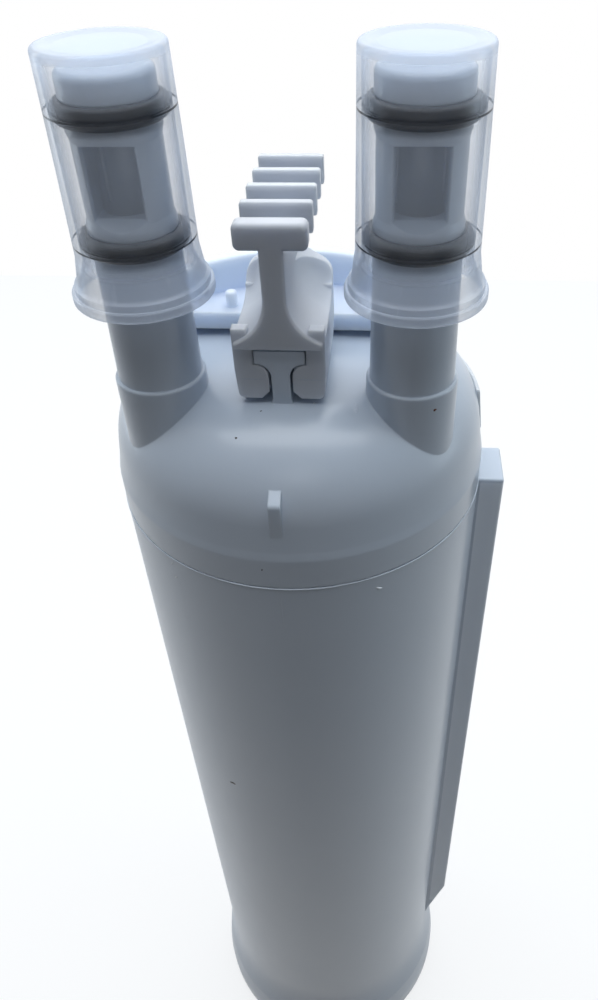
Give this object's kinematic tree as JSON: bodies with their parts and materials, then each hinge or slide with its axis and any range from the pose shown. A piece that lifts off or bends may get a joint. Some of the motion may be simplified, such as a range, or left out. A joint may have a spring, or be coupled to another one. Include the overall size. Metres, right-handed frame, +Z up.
{
  "type": "refrigerator water filter cartridge",
  "caption": "Push-in water filter cartridge: long round housing with a side rail, domed head with capped ports, a comb-shaped key on a T-rail and a walled tray behind it.",
  "frame": {"origin": "centre of the base's underside", "axes": "+Z up the cartridge's axis to the ports; -Y is the front, where the key's rail is seen end on; the side rail stands on +X"},
  "size_m": [0.0727, 0.0704, 0.2867],
  "materials": {
    "white_shell": "gloss white moulded plastic",
    "key_grey": "satin grey-white moulded plastic",
    "shroud_white": "bright white moulded plastic",
    "cap_milky": "milky translucent soft plastic",
    "seal_rubber": "black rubber",
    "inner_plastic": "natural white plastic",
    "net_plastic": "white extruded net",
    "carbon": "pressed black carbon",
    "felt": "white felt"
  },
  "bodies": {
    "cartridge": {"housing": "white_shell", "base_cap": "white_shell", "head": "white_shell", "rear_shroud": "shroud_white", "channel_plate": "inner_plastic", "outlet_gasket": "seal_rubber", "carbon_block": "carbon", "core_tube": "inner_plastic", "pre_filter_wrap": "felt", "outer_net": "net_plastic", "bottom_end_cap": "inner_plastic", "top_end_cap": "inner_plastic", "neck_seal": "seal_rubber", "lower_seal_left": "seal_rubber", "upper_seal_left": "seal_rubber", "lower_seal_right": "seal_rubber", "upper_seal_right": "seal_rubber"},
    "left_cap": {"port_cap_left": "cap_milky"},
    "right_cap": {"port_cap_right": "cap_milky"},
    "key": {"filter_key": "key_grey"}
  },
  "joints": [
    {"name": "left_cap_slide", "type": "slide", "parent": "cartridge", "child": "left_cap", "axis": [0, 0, 1], "range_m": [0, 0.03]},
    {"name": "right_cap_slide", "type": "slide", "parent": "cartridge", "child": "right_cap", "axis": [0, 0, 1], "range_m": [0, 0.03]},
    {"name": "key_slide", "type": "slide", "parent": "cartridge", "child": "key", "axis": [0, -1, 0], "range_m": [0, 0.019]}
  ]
}
